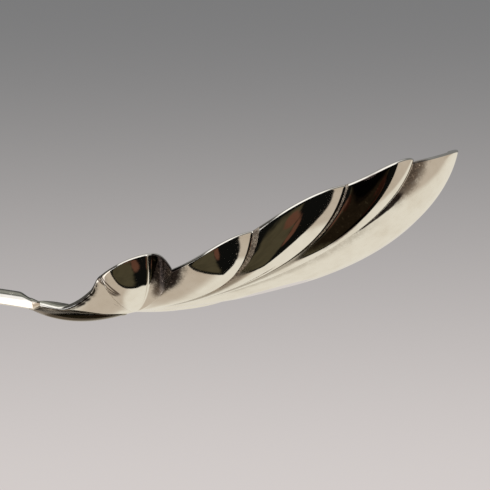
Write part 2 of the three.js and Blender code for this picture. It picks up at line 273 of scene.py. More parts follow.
tip_rib = rib_point(np.full(50, float(TIP)), np.linspace(0, 1, 50))[0]
print("lowest point of the keel in mm:", round(float(tip_rib[:, 2].min()), 2))

# %% [markdown]
# ## The skin of the bowl
#
# The lobes are pushed out square to the smooth shell, and they fade toward the heel. Four fine
# lines are chased into the corner between neck and ear: shallow grooves, pressed the other way.
# They could be a bump in the material, but real grooves also show in the finished mesh.

# %% Bowl skin
FLUTE_FADE = 2.145  # how quickly the lobes sink toward the heel
# Chased lines: the places past the ear's corner where each starts and ends
CHASED_LINES = ((-0.15, 0.17), (-0.04, 0.215), (0.07, 0.26), (0.17, 0.3))
CHASED_TOP, CHASED_FOOT = 0.97, 0.72  # ways from the heel at which they start and end
CHASED_RUN = (-0.08, 0.02, 0.95, 1.4)  # where a line starts, is deep, fades and ends
CHASED_DEPTH, CHASED_WIDTH = 0.04, 0.11
PROBE = 0.001  # step for measuring slopes
NO_LENGTH = 1e-12  # keeps a division by zero away
UPWARD = np.array([0.0, 0.0, 1.0])
CORNER_REACH = [np.linalg.norm(NEAR_RIM[EAR + k] - NEAR_RIM[EAR + k - 1]) for k in (0, 1)]


def band(value, start, full, fade, end):
    """1 between full and fade, falling smoothly to 0 at start and at end."""
    return ramp(value, start, full) * (1 - ramp(value, fade, end))


def unit(vectors):
    """The same directions with a length of 1."""
    return vectors / np.maximum(np.linalg.norm(vectors, axis=-1, keepdims=True), NO_LENGTH)


def inward(place, way):
    """Direction into the bowl, square to the smooth shell."""
    before, after = np.maximum(place - PROBE, 0), np.minimum(place + PROBE, RIM_END)
    along = rib_point(after, way)[0] - rib_point(before, way)[0]
    outward = rib_point(place, way + PROBE)[0] - rib_point(place, way - PROBE)[0]
    neck = neck_share(place)[..., None]
    return unit(unit(np.cross(outward, along)) * (1 - neck) + UPWARD * neck)


def from_corner(beyond):
    """Distance along the rim from the corner of the ear, in mm."""
    return beyond * np.where(beyond < 0, *CORNER_REACH)


def chased_at(place, way):
    """Depth of the chased lines at the corner of the ear."""
    share = (CHASED_TOP - way) / (CHASED_TOP - CHASED_FOOT)
    lines = 0.0
    for top, foot in CHASED_LINES:
        line = from_corner(blend(top, foot, share))
        distance = way * (from_corner(fold(place) - EAR) - line)
        lines = lines + bell(distance, 0, CHASED_WIDTH)
    return CHASED_DEPTH * lines * band(share, *CHASED_RUN)


def outer_skin(place, way):
    """Outer skin of the sheet and the direction into it."""
    swell, lift = lobe_at(place)
    point, out = rib_point(place, way, lift)
    into = inward(place, way)
    return point + into * (chased_at(place, way) - swell * out**FLUTE_FADE)[..., None], into


widest = outer_skin(np.linspace(LAPPED - 1, LAPPED + 1, 200), np.ones(200))[0]
print("bowl half width in mm:", round(float(-widest[:, 1].min()), 2))

# %% [markdown]
# ## The bowl as a mesh
#
# The mesh is a grid: columns run from the heel to the rim and rows run round the bowl, up the
# outside, over a rounded edge and back down the inside. Columns are set closer together near the
# creases, so that the creases stay crisp without a heavy mesh. A coarse cage with a Subdivision
# Surface modifier would be lighter still, but it would soften every crease.

# %% Grid helpers
def add_object(name, data):
    """A new object in the scene."""
    made = bpy.data.objects.new(name, data)
    bpy.context.scene.collection.objects.link(made)
    return made


def make_piece(name, points, faces, node):
    """A smooth-shaded mesh, set on the table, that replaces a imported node."""
    mesh = bpy.data.meshes.new(name)
    mesh.from_pydata(on_table(points).reshape(-1, 3).tolist(), [], faces)
    mesh.validate()
    mesh.shade_smooth()
    piece = add_object(name, mesh)
    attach(piece, "root")
    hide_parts(node)
    print(name, "has", len(mesh.polygons), "faces")
    return piece


def grid_faces(rows, count, flip=False, closed=False):
    """Quads between rings of corners; closed joins the last ring to the first."""
    row, column = np.meshgrid(np.arange(rows - 1 + closed), np.arange(count), indexing="ij")
    ahead = (column + 1) % count
    low, high = row * count, (row + 1) % rows * count
    quads = np.stack([low + column, low + ahead, high + ahead, high + column], -1).reshape(-1, 4)
    return (quads[:, ::-1] if flip else quads).tolist()


def spread(start, end, steps):
    """Places from one crease to the next, closer together near both."""
    return blend(start, end, (1 - np.cos(np.pi * np.arange(steps) / steps)) / 2)


print("five places of one stretch:", np.round(spread(0, 1, 5), 2))

# %% Bowl grid
SHEET = 0.6  # thickness of the bowl's sheet
JOINT_THICKNESS = 0.65  # of the tang where it is soldered
# Places where the columns crowd: every crease, and both ends of the chased corner
CREASES = (0, 1, 2, 2.4, EAR, 3.35, EAR + EAR_RIDGE, 4, 5, 6, 7, TIP)
COLUMNS = (12, 12, 10, 40, 84, 36, 30, 44, 44, 48, 44)  # from each of them to the next
JOINT_COLUMNS = 8
RIB_ROWS = 76

near_places = np.concatenate([spread(*part) for part in zip(CREASES, CREASES[1:], COLUMNS)])
joint_places = RIM_END + np.arange(1, JOINT_COLUMNS) / JOINT_COLUMNS
place = np.concatenate([near_places, [TIP], RIM_END - near_places[::-1], joint_places])
at_joint = place >= RIM_END
rib_length = np.linalg.norm(outer_skin(place, np.ones_like(place))[0], axis=-1)
edge_share = np.where(at_joint, 0.0, SHEET / 2 / rib_length)
way = (np.arange(1, RIB_ROWS + 1) / RIB_ROWS)[:, None] * (1 - edge_share)

outer, into = outer_skin(np.broadcast_to(place, way.shape), way)
tang = np.clip((-outer[..., 0] / JOINT_ALONG - NECK_SHARE) / (1 - NECK_SHARE), 0, 1)
thickness = blend(SHEET, JOINT_THICKNESS, tang)
inner = outer + into * thickness[..., None]
print("skin of", RIB_ROWS, "rows and", len(place), "columns")

# %% Bowl edge
EDGE_ROWS = 9
EDGE_POWER = 2.6  # its section: 2 is round, more is squarer

middle = (outer[-1] + inner[-1]) / 2
half = (outer[-1] - inner[-1]) / 2
ahead = outer[-1] - outer[-2]
ahead = unit(ahead - half * ((ahead * half).sum(-1) / (half * half).sum(-1))[:, None])
ahead = ahead * np.where(at_joint, 0.0, SHEET / 2)[:, None]
turns = np.pi * np.arange(1, EDGE_ROWS + 1)[:, None, None] / (EDGE_ROWS + 1)
side_part = np.sign(np.cos(turns)) * np.abs(np.cos(turns)) ** (2 / EDGE_POWER)
edge = middle + half * side_part + ahead * np.sin(turns) ** (2 / EDGE_POWER)
print("edge of", EDGE_ROWS, "rows")

# %% Bowl mesh
rows = np.concatenate([outer, edge, inner[::-1]])
count = len(place)
heel_inside = unit(np.array([-KEEL_SLOPE, 0.0, 1.0])) * SHEET
points = np.vstack([rows.reshape(-1, 3), np.zeros((1, 3)), heel_inside[None]])
faces = grid_faces(len(rows), count)
heel, last = len(points) - 2, (len(rows) - 1) * count
for i in range(count):
    faces.append((heel, (i + 1) % count, i))
    faces.append((heel + 1, last + i, last + (i + 1) % count))
bowl = make_piece("shell_bowl", points, faces, "bowl")

# %% [markdown]
# ## Where the tarnish and painted shade lie
#
# A polishing cloth slides over the lobes and misses the hollows. Noise alone can't find a crease,
# but the grid can: each corner knows its place round the rim, its way up the rib and, measured
# along its row, its distance from a crease. Smooth bands of these numbers make masks from 0 to 1.
# Each is stored as an attribute on the mesh, and the silver's material reads it. Some of them are
# painted shade, in creases and beside the lapped edge, and not tarnish.

# %% Mask helpers
way_rows = np.concatenate([way, np.repeat(way[-1:], EDGE_ROWS, 0), way[::-1]])
place_rows = np.broadcast_to(place, way_rows.shape)
fold_rows = fold(place_rows)
row_steps = np.linalg.norm(np.diff(rows, axis=1), axis=-1)
run = np.concatenate([np.zeros((len(rows), 1)), row_steps.cumsum(1)], axis=1)
row_number = np.arange(len(rows))[:, None]
outside = np.where(row_number < RIB_ROWS + EDGE_ROWS // 2, 1.0, 0.0)


def past_crease(crease):
    """Distance in mm beyond a crease toward the tip, on both sides of the bowl."""
    columns = [np.abs(place - at).argmin() for at in (crease, RIM_END - crease)]
    near_side, far_side = (run - run[:, [column]] for column in columns)
    return np.where(place_rows < TIP, near_side, -far_side)


def mark(value, shape, ways, strength=1.0):
    """Mask outside the bowl: a bell or band of a value, times a ramp or band of the way."""
    across = (bell if len(shape) == 2 else band)(value, *shape)
    along = (ramp if len(ways) == 2 else band)(way_rows, *ways)
    return strength * across * along * outside


def keep_mask(piece, name, *masks):
    """Stores the strongest of some masks on each corner, for the material to read."""
    mask = np.maximum.reduce(masks)
    layer = piece.data.attributes.new(name, "FLOAT", "POINT")
    values = np.zeros(len(piece.data.vertices), dtype=np.float32)
    values[: mask.size] = mask.ravel()
    layer.data.foreach_set("value", values)
    print(name, "has a mean of", round(float(mask.mean()), 3), "on", piece.name)


print("rows outside the bowl:", int(outside.sum()))

# %% Tarnish and painted shade in the creases
# Each mark has the distances or places where it starts, is full, fades and ends, or its middle and
# reach; then the ways from the heel between which it sets in, and may end; then its strength
DARK_LINE = (0, 0.07), (0.35, 0.7), 0.8  # painted shadow line in the crease after the second lobe
PALE_STRIP = (0.04, 0.1, 0.3, 0.46), (0.5, 0.75), 0.7  # beside that line
STRIP_EDGE, STRIP_FADE, STRIP_WAYS = (-0.03, 0.03), 0.75, (0.3, 0.6)  # dull, one crease before
STRIP_WIDTHS, STRIP_GROWS = (0.16, 1.01), (0.4, 0.98)  # low down and high up, and the ways of both
CREASE_SHADE_EDGE, CREASE_SHADE_FADE, CREASE_SHADE_WAYS = (-0.06, 0.08), 0.2, (0.1, 0.28, 0.6, 0.8)  # painted grey shade along the creases, low down
CREASE_SHADE_WIDTH = 4.4  # as it would be at the rim
SHADED_CREASES = ((2, 0.85), (3, 0.85), (4, 0.4))  # past the ear's corner, with strengths

width = blend(*STRIP_WIDTHS, ramp(way_rows, *STRIP_GROWS))
strip = mark(past_crease(EAR + 2), (*STRIP_EDGE, STRIP_FADE * width, width), STRIP_WAYS)
beyond = past_crease(EAR + 3)
keep_mask(bowl, "strip", strip, mark(beyond, *PALE_STRIP))
dark_line = mark(beyond, *DARK_LINE)
width = CREASE_SHADE_WIDTH * way_rows
shape = (*CREASE_SHADE_EDGE, CREASE_SHADE_FADE * width, width)
crease_shades = (mark(past_crease(EAR + at), shape, CREASE_SHADE_WAYS, strong) for at, strong in SHADED_CREASES)
keep_mask(bowl, "crease_shade", *crease_shades)

# %% Painted shade on the last two lobes
SHADED = (0.06, 0.16, 0.54, 0.64), (0.55, 0.7)  # painted shade on the dark part of the lapped lobe, in shares of it
TIP_FLANK_SHADE = (0.0, 0.1, 0.6, 3.4), (0.68, 0.92), 0.8  # painted brown shade on the flank beyond the lapped edge
SLIVER_EDGE, SLIVER_WAYS = (0, 0.06), (0.6, 0.69, 0.81, 0.88)  # painted shadow under the lapped edge
SLIVER_FADE, SLIVER_END = 0.55, 1.15  # shares of its width at which it fades and ends
SLIVER_WIDTHS, SLIVER_GROWS = (0.4025, 1.15), (0.66, 0.8)

keep_mask(bowl, "shade", np.where(row_number < RIB_ROWS, mark(fold_rows - LAPPED, *SHADED), 0))
beyond = past_crease(LAPPED + 1)
tip_flank_shade = mark(beyond, *TIP_FLANK_SHADE)
width = blend(*SLIVER_WIDTHS, ramp(way_rows, *SLIVER_GROWS))
lap_shadow = mark(beyond, (*SLIVER_EDGE, SLIVER_FADE * width, SLIVER_END * width), SLIVER_WAYS)

# %% Tarnish at the ear and the neck, with painted shade at the ear's corner
CORNER = (0.15, 0.12), (0.78, 0.9), 0.45  # painted shade at the ear's corner; these first three are counted from the ear's corner
NOTCH_FOOT = (0.94, 0.1), (0.33, 0.55), 0.85
NOTCH = (EAR_RIDGE + 0.02, EAR_RIDGE + 0.05, 0.97, 1.32), (0.42, 0.8)
NECK_LINE = (0.1, 0.4, 2.6, 2.9), (0.8, 0.97), 0.5  # under the neck's edge, counted from the joint
CHASED_DARK, SPOT_DARK = 1.2, 0.9  # strengths
# Spots under the neck's edge: place and way of the middle, and how far each spreads in both
NECK_SPOTS = (
    (1.47, 0.93, 0.16, 0.055),
    (1.76, 0.935, 0.08, 0.045),
    (2.0, 0.95, 0.05, 0.02),
    (2.55, 0.94, 0.09, 0.025),
)

from_ear = fold_rows - EAR
chased = CHASED_DARK * outside * chased_at(place_rows, way_rows) / CHASED_DEPTH
browns = (mark(from_ear, *part) for part in (CORNER, NOTCH_FOOT))
# painted shade beyond the lapped edge, along the crease after the second lobe and at the ear's
# corner, with tarnish in the chased lines and at the notch's foot
keep_mask(bowl, "flank", tip_flank_shade, dark_line, chased, *browns)
spots = (
    SPOT_DARK * outside * bell(fold_rows, at_place, along) * bell(way_rows, at_way, across)
    for at_place, at_way, along, across in NECK_SPOTS
)
# black tarnish in the notch and along the neck's edge, with a painted shadow under the lapped edge
keep_mask(bowl, "soot_and_lap_shadow", lap_shadow, mark(from_ear, *NOTCH), mark(fold_rows, *NECK_LINE), *spots)

# %% Painted shade on top of the tang
# Rows of the rounded edge and ways over which it sets in, and places over which it ends
TANG_ROWS, TANG_WAYS, TANG_ENDS = (4, 7), (0.6, 0.8), (0.9, 1.5)
dull_and_painted_shade = ramp(row_number - RIB_ROWS, *TANG_ROWS) * (1 - ramp(fold_rows, *TANG_ENDS))
keep_mask(bowl, "dull_and_painted_shade", dull_and_painted_shade * ramp(way_rows, *TANG_WAYS))

# %% [markdown]
# ## The handle
#
# The handle was forged from rod: round at the back and flatter on its face near the joint, and
# hammered out to a wide blade at the end. A bevelled curve keeps one shape of section all along, so
# a loft through changing sections makes it instead. Each section is a superellipse, an oval whose
# power sets how square it looks, with its widest line above the middle on the stem. Its underside
# follows a Bezier curve that arches and comes down to the table. The upper face by the joint gets a
# mask of painted shade, which darkens what its upper corners mirror.

# %% Handle underside
STEM_SLOPE = math.radians(25)  # slope of the stem where it leaves the joint
STEM_LEAD, END_LEAD = 40.0, 38.0  # how far the slope at each end is carried along the arch
END_CURL = 2.3  # dip of the second, which lifts the end off the table
WEAR = 0.16  # depth of the flats that the table has worn
SEAM = seam_high[0] - seam_low[0]
stem_along = -JOINT_ALONG - SEAM
table_up = -HEEL[2]


def handle_underside(share, end_up):
    """Points (along, up) of the handle's underside, from the joint (0) to the end (1)."""
    start = np.array([stem_along, JOINT_UP])
    rise = start + STEM_LEAD * np.array([-math.cos(STEM_SLOPE), math.sin(STEM_SLOPE)])
    end = np.array([handle_low[0] - HEEL[0], end_up])
    fall = end + np.array([END_LEAD, -END_CURL])
    t = np.asarray(share)[..., None]
    first_half = start * (1 - t) ** 3 + 3 * rise * t * (1 - t) ** 2
    return first_half + 3 * fall * t**2 * (1 - t) + end * t**3


all_along = np.linspace(0, 1, 201)
end_up = 2 * table_up - WEAR / 2 - handle_underside(all_along, table_up)[:, 1].min()
print("end of the handle above the table in mm:", round(float(end_up - table_up), 2))

# %% Cross sections
SQUARE_POWER = 3.2  # of the blade and the stem's face: 2 is an oval, more is squarer
STEM_POWER = 2.0  # the same for the stem's round back
STEM_WAIST, BLADE_WAIST = 0.68, 0.5  # height of the widest line, as a share of the thickness
SECTION_POINTS = 72
section_angle = 2 * np.pi * np.arange(SECTION_POINTS) / SECTION_POINTS


def section(along, under, half_width, thick, blade):
    """Closed ring of points across the spoon, from stem (0) to blade (1)."""
    c, s = np.cos(section_angle), np.sin(section_angle)
    waist = blend(STEM_WAIST, BLADE_WAIST, blade)
    power = np.where(s < 0, blend(STEM_POWER, SQUARE_POWER, blade), SQUARE_POWER)
    reach = np.where(s < 0, waist, 1 - waist)
    y = half_width * np.sign(c) * np.abs(c) ** (2 / power)
    z = under + thick * (waist + reach * np.sign(s) * np.abs(s) ** (2 / power))
    return np.stack([np.full(SECTION_POINTS, along), y, z], axis=-1)


def loft(rings):
    """Points and faces of a body through rings that go toward the handle's end."""
    rings = np.array(rings)
    rows, count = rings.shape[:2]
    caps = [list(range(count)), list(range((rows - 1) * count, rows * count))[::-1]]
    return rings, grid_faces(rows, count, flip=True) + caps


print("points in each section:", SECTION_POINTS)

# %% Handle mesh
STEM_START = seam_high[2] - seam_low[2]  # thickness of the stem where it is soldered
STEM_HALF_WIDTH = 1.75
STEM_THICKNESS = 1.9
SHOULDER = 1.1  # length over which the stem reaches its full thickness
BLADE_HALF_WIDTH = 5.8
BLADE_THICKNESS = 1.4
BLADE_START = 0.22  # share of the handle before it starts to widen
END_ROUND = 9.0  # length of the rounded end
END_EDGE = 0.82  # share of it after which its edge thins out
END_WIDTH, END_THIN = 0.16, 0.4  # least shares of the width and the thickness there
PAINTED_SHADE_LENGTH = 16.0  # length of the stem's face by the joint that gets painted shade
PAINTED_SHADE_SIDES = (-0.18, -0.08)  # heights on the section over which that face begins
HANDLE_ROWS = 200
run_all = HEEL[0] - handle_low[0] + stem_along
widens = BLADE_START * run_all


def handle_section(share):
    """Section of the handle at a share of its length."""
    along, under = handle_underside(share, end_up)
    gone = stem_along - along
    stem = blend(JOINT_HALF_WIDTH, STEM_HALF_WIDTH, ramp(gone, 0, widens))
    widening = ramp(gone, widens, run_all - END_ROUND / 2)
    rounded = np.clip(1 - (run_all - gone) / END_ROUND, 0, 1)
    half_width = blend(stem, BLADE_HALF_WIDTH, widening)
    half_width = half_width * max(math.sqrt(1 - rounded**2), END_WIDTH)
    full = blend(STEM_THICKNESS, BLADE_THICKNESS, gone / run_all)
    thick = blend(STEM_START, full, ramp(gone, 0, SHOULDER))
    thinning = max((rounded - END_EDGE) / (1 - END_EDGE), 0)
    thin = max(math.sqrt(1 - thinning**2), END_THIN)
    under = under + thick * (1 - thin) / 2
    blade = ramp(gone, widens, run_all - END_ROUND)
    return section(along, under, half_width, thick * thin, blade)


shares = np.append(spread(0, 1, HANDLE_ROWS), 1.0)
rings, faces = loft([handle_section(share) for share in shares])
handle = make_piece("handle_stem", rings, faces, "handle")
upper = ramp(np.sin(section_angle), *PAINTED_SHADE_SIDES)
from_joint = stem_along - rings[:, :1, 0]
# painted shade on the stem's upper face by the joint
keep_mask(handle, "dull_and_painted_shade", upper * (1 - ramp(from_joint, PAINTED_SHADE_LENGTH / 2, PAINTED_SHADE_LENGTH)))

# %% [markdown]
# ## The solder seam at the neck
#
# The stem meets the bowl's tang end to end, and a little hard solder stands proud where the two
# were joined. It is a short collar: the same section as the joint, swelling slightly in its middle.
# Its upper side gets the same painted shade as the faces beside it.

# %% Neck solder
SEAM_REACH = 0.12  # how far it covers each side of the joint
SEAM_PROUD = 0.05  # how far it stands out
SEAM_SINK = 0.01  # how far its ends lie below the surface
SEAM_ROWS = 15
rings = []
for share in np.linspace(-1, 1, SEAM_ROWS):
    along = -JOINT_ALONG - SEAM / 2 - share * (SEAM / 2 + SEAM_REACH)
    proud = SEAM_PROUD * math.sqrt(max(1 - share**2, 0.0)) - SEAM_SINK
    thick = blend(JOINT_THICKNESS, STEM_START, np.clip((-JOINT_ALONG - along) / SEAM, 0, 1))
    half_width = JOINT_HALF_WIDTH + proud
    rings.append(section(along, JOINT_UP - proud, half_width, thick + 2 * proud, 0.0))
rings, faces = loft(rings)
neck_solder = make_piece("neck_solder_seam", rings, faces, "neck_solder")
# the same painted shade on the solder's upper side
keep_mask(neck_solder, "dull_and_painted_shade", np.broadcast_to(upper, rings.shape[:2]))

# %% [markdown]
# ## The drop under the heel
#
# A drop of silver strengthens the joint from below. Its plan is a long oval, its belly hangs in a
# Bezier curve, and its upper face lies against the neck. The neck's underside at any point is found
# by turning the rib formula round: the direction from the heel picks the place on the rim, and the
# distance picks the way along that rib.

# %% Underside of the neck and the stem
NECK_PLACES = 400
JOINT_MIDDLE = RIM_END + 0.5  # place halfway across the joint
BEFORE_JOINT = 0.01  # least distance from the joint
DROP_BED = 0.03  # how far the drop is let into the solder


def neck_underside(x, y):
    """Height of the neck's underside at points behind the heel."""
    places = np.linspace(RIM_END, RIM_END - EAR, NECK_PLACES)
    places = np.concatenate([[JOINT_MIDDLE], places])
    rim = rim_at(places)
    angle = np.arctan2(np.abs(rim[:, 1]), -rim[:, 0])
    at = np.interp(np.arctan2(np.abs(y), -x), angle, places)
    turn = blend(BOWL_TURN, NECK_TURN, neck_share(at))
    out = np.clip(np.hypot(x, y) / np.hypot(*rim_at(at)[..., :2].T), 0, 1)
    return rib_point(at, np.arcsin(out * np.sin(turn)) / turn)[0][..., 2]


def under_stem(x):
    """Height of the handle's underside at points behind the joint."""
    curve = handle_underside(all_along, end_up)
    return np.interp(-x, -curve[:, 0], curve[:, 1])


def under_joint(x, y):
    """Height of the neck before the joint and of the handle behind it."""
    neck = neck_underside(np.maximum(x, BEFORE_JOINT - JOINT_ALONG), y)
    return np.where(x < stem_along, under_stem(x), neck) + DROP_BED


halfway = neck_underside(np.array([-JOINT_ALONG / 2]), np.zeros(1))
print("neck underside halfway to the joint in mm:", np.round(halfway, 2))

# %% Heel drop
DROP_BACK = 0.4  # how far it reaches under the handle
DROP_FRONT = 1.05  # from the heel point to its front tip
DROP_HALF_WIDTH = 1.05
DROP_POWER = 3.0  # section of its belly: 2 is round, more has steeper sides
DROP_BELLY = 0.386  # where the belly lies, as a share of the length
DROP_SAG = 2.42  # pull of the belly below a line between the ends
DROP_ENDS = (0.015, 0.985)  # part of a half turn that spaces the rows
DROP_THIN = 0.02  # least half width of a row
DROP_ROWS = 80
DROP_ARC = 40
DROP_TOP = 12
DROP_TRIES = 200

back = np.array([stem_along - DROP_BACK, 0.0])
back[1] = under_stem(back[0])
front = np.array([-DROP_FRONT, 0.0])
belly = blend(back, front, DROP_BELLY) - (0, DROP_SAG)


def drop_ring(share):
    """Ring across the drop at a share of its length, and the end of its upper edge."""
    low = back * (1 - share) ** 2 + 2 * belly * share * (1 - share) + front * share**2
    length = (low[0] - back[0]) / (front[0] - back[0])
    line = blend(back[1], front[1], length)
    full = DROP_HALF_WIDTH * math.sqrt(4 * length * (1 - length))

    def belly_at(y):
        hang = (1 - np.minimum(np.abs(y) / full, 1) ** DROP_POWER) ** (1 / DROP_POWER)
        return line - (line - low[1]) * hang

    tries = full * np.linspace(0, 1, DROP_TRIES)
    inside = belly_at(tries) < under_joint(np.full(DROP_TRIES, low[0]), tries)
    half_width = max(tries[inside].max() if inside.any() else 0.0, DROP_THIN)
    y_low = -half_width * np.cos(np.pi * np.arange(DROP_ARC + 1) / DROP_ARC)
    y_top = half_width * np.cos(np.pi * np.arange(1, DROP_TOP) / DROP_TOP)
    y = np.concatenate([y_low, y_top])
    x = np.full(len(y), low[0])
    top = under_joint(x, y)
    z = np.where(np.arange(len(y)) <= DROP_ARC, np.minimum(belly_at(y), top), top)
    return np.stack([x, y, z], -1), (low[0], half_width, float(top[0]))


shares = (1 + np.cos(np.pi * np.linspace(*DROP_ENDS, DROP_ROWS))) / 2
rings, drop_edge = zip(*(drop_ring(share) for share in shares))
rings, faces = loft(rings)
drop = make_piece("heel_drop_silver", rings, faces, "heel_drop")

# %% [markdown]
# ## Solder round the drop
#
# Where the drop meets the neck, solder ran into the corner and left a thin fillet. A bevel works
# only inside one mesh, and here two meet. So a narrow tube is laid along the drop's upper edge,
# half sunk in both pieces, and shows just that fillet. A cloth hardly reaches it, so it is dull.

# %% Heel solder
FILLET = 0.1  # its radius
FILLET_POINTS = 12
FILLET_DULL = 0.6
drop_edge = np.array(drop_edge)
path = np.vstack([drop_edge * (1, -1, 1), drop_edge[::-1]])
forward = unit(np.roll(path, -1, 0) - np.roll(path, 1, 0))
side = unit(np.cross(forward, UPWARD))[:, None]
lift = np.cross(side[:, 0], forward)[:, None]
angle = (2 * np.pi * np.arange(FILLET_POINTS) / FILLET_POINTS)[:, None]
tube = path[:, None] + FILLET * (side * np.cos(angle) + lift * np.sin(angle))
faces = grid_faces(len(path), FILLET_POINTS, closed=True)
heel_solder = make_piece("heel_solder_fillet", tube, faces, "heel_solder")
keep_mask(heel_solder, "dull_and_painted_shade", np.full(tube.shape[:2], FILLET_DULL))

# %% [markdown]
# ## A small language for materials
#
# Shader trees are easier to read as formulas than as lists of nodes and links. This class wraps one
# socket, so that `1 - mask` or `noise * 0.2` adds the Math node it stands for, and one method adds
# any other node.

# %% Wire class
class Wire:
    """One output socket of a shader tree that can be used in arithmetic."""

    def __init__(self, tree, socket=None):
        self.tree = tree
        self.socket = socket

    def node(self, kind, settings=None, inputs=None, output=0):
        """Adds a node: its settings first, then the values or wires of its sockets."""
        made = self.tree.nodes.new(kind)
        for name, value in (settings or {}).items():
            setattr(made, name, value)
        for name, value in (inputs or {}).items():
            if isinstance(value, Wire):
                self.tree.links.new(value.socket, made.inputs[name])
            else:
                made.inputs[name].default_value = value
        return Wire(self.tree, made.outputs[output] if len(made.outputs) else None)

    def math(self, operation, first, second):
        return self.node("ShaderNodeMath", {"operation": operation}, {0: first, 1: second})

    def __add__(self, other):
        return self.math("ADD", self, other)

    __radd__ = __add__

    def __sub__(self, other):
        return self.math("SUBTRACT", self, other)

    def __rsub__(self, other):
        return self.math("SUBTRACT", other, self)

    def __mul__(self, other):
        return self.math("MULTIPLY", self, other)

    __rmul__ = __mul__

    def most(self, other):
        return self.math("MAXIMUM", self, other)

    def step(self, low, high):
        """Smooth step from 0 at low to 1 at high."""
        smooth = {"interpolation_type": "SMOOTHSTEP"}
        limits = {"Value": self, "From Min": low, "From Max": high}
        return self.node("ShaderNodeMapRange", smooth, limits)

    def tint(self, none, full):
        """Colour that goes from none at 0 to full at 1."""
        return self.node("ShaderNodeMix", {"data_type": "RGBA"}, {0: self, 6: none, 7: full}, 2)

    def toward(self, direction):
        """How far a vector points along a direction."""
        dot = {"operation": "DOT_PRODUCT"}
        return self.node("ShaderNodeVectorMath", dot, {0: self, 1: direction}, 1)

    def stretched(self, scale):
        """A vector with each part made longer or shorter."""
        return self.node("ShaderNodeVectorMath", {"operation": "MULTIPLY"}, {0: self, 1: scale})

    def noise(self, scale, detail=2.0, rough=0.5):
        """Cloudy values from 0 to 1 over a vector."""
        values = {"Vector": self, "Scale": scale, "Detail": detail, "Roughness": rough}
        return self.node("ShaderNodeTexNoise", None, values)


def rgb(red, green, blue):
    return (red, green, blue, 1.0)


def new_tree(owner):
    """Empties a node tree and returns a wire to start from."""
    owner.use_nodes = True
    owner.node_tree.nodes.clear()
    return Wire(owner.node_tree)


print("wire operators ready")

# %% [markdown]
# ## Polished silver
#
# Worn silver isn't a perfect mirror: handling leaves smudges that blur it a little, cloths leave
# fine scratches, and planishing leaves it slightly wavy. These could be painted, but noise at
# several sizes needs no picture and has no seams. The stored masks say where tarnish and painted
# shade lie. Every metal piece shares this one recipe.

# %% Tarnish and painted shade colours
# Layers of tarnish and painted shade from the lowest up: deep and light colour, roughness, the part
# of its mask over which it sets in, and how far specks wear through it
TARNISH_AND_PAINTED_SHADE = {
    # painted shade on the upper faces by the joint, and a dull solder fillet under the drop
    "dull_and_painted_shade": (rgb(0.19, 0.19, 0.165), rgb(0.24, 0.235, 0.2), 0.09, 0.0, 1.0, 0.5),
    # painted shade along the creases, low down
    "crease_shade": (rgb(0.46, 0.425, 0.38), rgb(0.56, 0.52, 0.465), 0.2, 0.0, 1.0, 0.3),
    # painted shade on the lapped lobe
    "shade": (rgb(0.14, 0.105, 0.095), rgb(0.2, 0.15, 0.135), 0.06, 0.0, 1.0, 0.25),
    "strip": (rgb(0.36, 0.3, 0.26), rgb(0.92, 0.83, 0.72), 0.66, 0.3, 0.75, 0.8),
    # painted shade beyond the lapped edge, in one crease and at the ear's corner; tarnish in the
    # chased lines and the notch's foot
    "flank": (rgb(0.11, 0.09, 0.078), rgb(0.3, 0.255, 0.22), 0.2, 0.05, 0.95, 0.6),
    # black tarnish in the notch and under the neck's edge; painted shadow under the lapped edge
    "soot_and_lap_shadow": (rgb(0.012, 0.01, 0.01), rgb(0.06, 0.047, 0.043), 0.14, 0.1, 0.9, 0.25),
}
print("tarnishes:", list(TARNISH_AND_PAINTED_SHADE))

# %% Silver finish
SILVER = rgb(0.93, 0.905, 0.86)
SILVER_DULL = rgb(0.83, 0.785, 0.72)
SMUDGES, WAVES, CLOUDS, SPECKS, DUST = 260.0, 210.0, 1100.0, 3800.0, 5200.0  # more is finer
LONG_SCRATCHES = (500.0, 9000.0, 5200.0)
CROSS_SCRATCHES = (5200.0, 700.0, 7000.0)
# Noise values between which each of them sets in, and a mask's values between which it is ragged
SMUDGE_STEP, CLOUD_STEP, DUST_STEP = (0.42, 0.72), (0.3, 0.75), (0.7, 0.74)
LONG_STEP, CROSS_STEP = (0.66, 0.72), (0.68, 0.74)
WORN_STEP, STAIN_STEP, MASK_STEP = (0.6, 0.65), (0.38, 0.66), (0.02, 0.3)
SMUDGE_SHARE, STAIN_SHARE = 0.7, 0.6  # the rest is clouds
SCRATCH_BLUR, DUST_BLUR = 0.05, 0.1  # added to the roughness
SCRATCH_HEIGHT, WAVE_HEIGHT = -0.004, 0.6
BUMP = {"Strength": 0.12, "Distance": 0.0002}
MASK_GAIN, MASK_RAGGED = 1.2, 1.3  # how strongly a mask counts, and how ragged noise makes it


